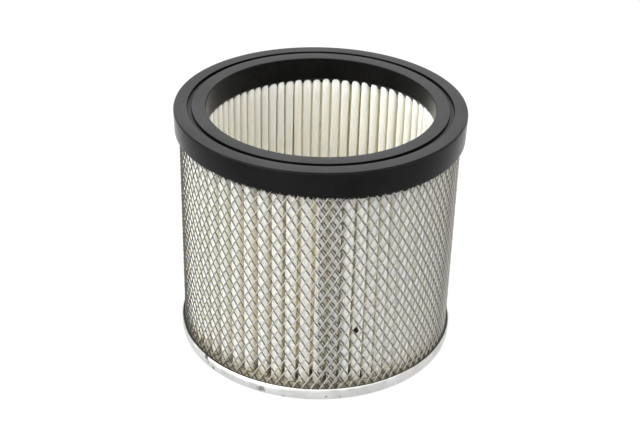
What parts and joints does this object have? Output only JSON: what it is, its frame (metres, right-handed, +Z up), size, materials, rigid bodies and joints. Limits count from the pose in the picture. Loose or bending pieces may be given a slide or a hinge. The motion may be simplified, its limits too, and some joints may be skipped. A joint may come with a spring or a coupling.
{
  "type": "ash vacuum filter",
  "caption": "Cylindrical pleated cartridge filter with a moulded black end ring, a diamond mesh sleeve and a closed steel dish at the base.",
  "frame": {"origin": "centre of the steel dish's flat foot, on the filter's axis", "axes": "+Z up along the filter's axis towards the open ring, -Y towards the side with the sleeve's overlap seam"},
  "size_m": [0.13, 0.13, 0.115],
  "materials": {
    "end_ring": "satin moulded polyurethane",
    "outer_mesh": "galvanised expanded metal",
    "pleated_media": "matt spunbonded felt",
    "bottom_dish": "bright galvanised sheet",
    "potting_adhesive": "dull cured adhesive"
  },
  "bodies": {
    "root": {"end_ring": "end_ring", "outer_mesh": "outer_mesh", "pleated_media": "pleated_media", "bottom_dish": "bottom_dish", "potting_adhesive": "potting_adhesive"}
  },
  "joints": []
}
